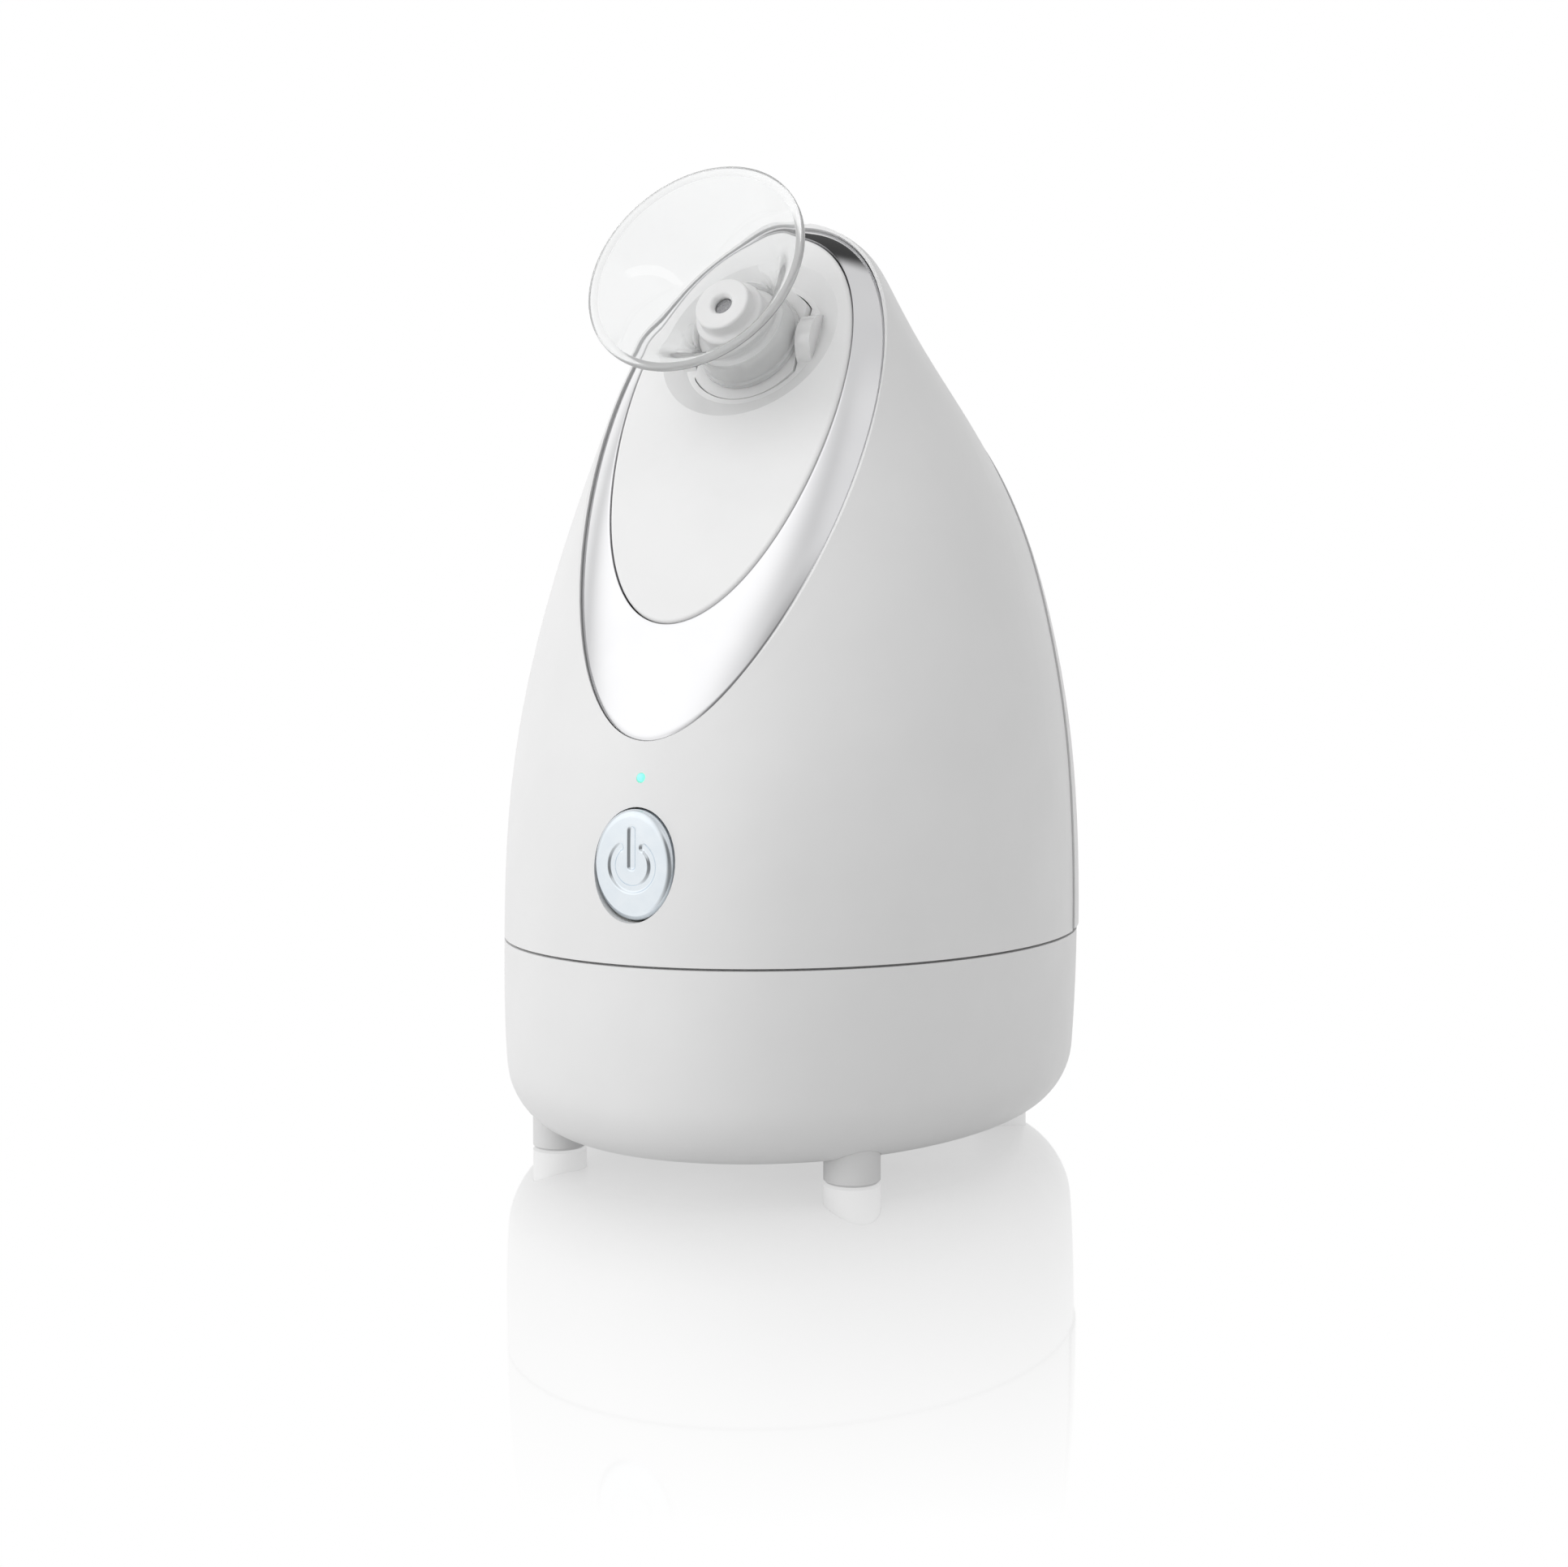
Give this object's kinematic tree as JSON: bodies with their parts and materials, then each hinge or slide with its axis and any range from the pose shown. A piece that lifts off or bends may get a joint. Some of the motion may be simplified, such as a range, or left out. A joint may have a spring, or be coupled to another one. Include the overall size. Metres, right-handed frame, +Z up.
{
  "type": "facial steamer",
  "caption": "Countertop facial steamer: pear-shaped white body, slanted face with a chrome trim, tilting clear steam cup, push button and a lift-off rear water tank.",
  "frame": {"origin": "on the surface the steamer stands on, under the middle of its overall box", "axes": "+Z up, the nozzle and power button face -Y, +X is to the right when looking at the front"},
  "size_m": [0.1447, 0.1766, 0.2425],
  "materials": {
    "body_white": "gloss white moulded plastic",
    "panel_white": "gloss white moulded plastic",
    "tank_white": "gloss white moulded plastic",
    "chrome_trim": "bright chrome plating on plastic",
    "chrome_button": "bright chrome plating, slightly cool",
    "foot_white": "satin white plastic",
    "clear_plastic": "clear moulded plastic",
    "outlet_white": "satin white heat-proof plastic",
    "steel": "stainless steel",
    "silicone": "translucent silicone rubber",
    "red_silicone": "heat-proof silicone rubber",
    "aluminium": "die-cast aluminium",
    "dark_plastic": "black moulded plastic",
    "inner_plastic": "natural moulded plastic",
    "circuit_board": "green solder mask",
    "lamp": "tinted clear plastic",
    "wire_white": "insulated wire",
    "wire_red": "insulated wire",
    "wire_black": "insulated wire",
    "brass": "plated brass"
  },
  "bodies": {
    "housing": {"base_housing": "body_white", "upper_housing": "body_white", "foot_front_left": "foot_white", "foot_front_right": "foot_white", "foot_rear_left": "foot_white", "foot_rear_right": "foot_white", "housing_screws": "steel", "face_trim_ring": "chrome_trim", "face_panel": "panel_white", "nozzle_cradle": "inner_plastic", "cradle_screws": "steel", "button_guide": "inner_plastic", "control_board": "circuit_board", "board_posts": "inner_plastic", "board_screws": "steel", "tact_switch": "dark_plastic", "light_pipe": "lamp", "indicator_led": "lamp", "boiler_frame": "dark_plastic", "heater_plate": "steel", "boiler_cup": "aluminium", "boiler_gasket": "red_silicone", "boiler_lid": "aluminium", "lid_screws": "steel", "steam_hose": "silicone", "thermostat": "brass", "thermal_fuse": "steel", "power_board": "circuit_board", "board_components": "dark_plastic", "board_standoffs": "inner_plastic", "mains_socket": "dark_plastic", "socket_pins": "brass", "tank_dock": "inner_plastic", "dock_pin": "inner_plastic", "inlet_hose": "silicone", "mains_leads": "wire_black", "heater_leads": "wire_red", "signal_leads": "wire_white"},
    "nozzle": {"nozzle_ball": "outlet_white", "steam_outlet": "outlet_white", "outlet_mesh": "steel", "cup_seal": "silicone"},
    "cup": {"nozzle_cup": "clear_plastic"},
    "button": {"power_button": "chrome_button", "button_carrier": "inner_plastic", "button_spring": "steel"},
    "tank": {"water_tank": "tank_white", "level_window": "clear_plastic"},
    "cap": {"tank_cap": "outlet_white", "cap_gasket": "silicone", "spring_guide": "inner_plastic", "valve_spring": "steel"},
    "valve": {"valve_plunger": "inner_plastic", "valve_seal": "red_silicone"}
  },
  "joints": [
    {"name": "nozzle_tilt", "type": "hinge", "parent": "housing", "child": "nozzle", "pos_m": [0, -0.02244, 0.20112], "axis": [-1, 0, 0], "range_deg": [-5, 20]},
    {"name": "cup_pull", "type": "slide", "parent": "nozzle", "child": "cup", "axis": [0, -0.907, 0.421], "range_m": [0, 0.05]},
    {"name": "button_press", "type": "slide", "parent": "housing", "child": "button", "axis": [0, 1, 0], "range_m": [0, 0.0012], "stiffness_N_per_m": 900, "deforming": ["button_spring"]},
    {"name": "tank_lift", "type": "slide", "parent": "housing", "child": "tank", "axis": [0, 0, 1], "range_m": [0, 0.2]},
    {"name": "cap_twist", "type": "hinge", "parent": "tank", "child": "cap", "pos_m": [0, 0.05, 0.055], "axis": [0, 0, 1], "range_deg": [0, 90]},
    {"name": "valve_lift", "type": "slide", "parent": "cap", "child": "valve", "axis": [0, 0, 1], "range_m": [0, 0.002], "stiffness_N_per_m": 400, "deforming": ["valve_spring"]}
  ]
}
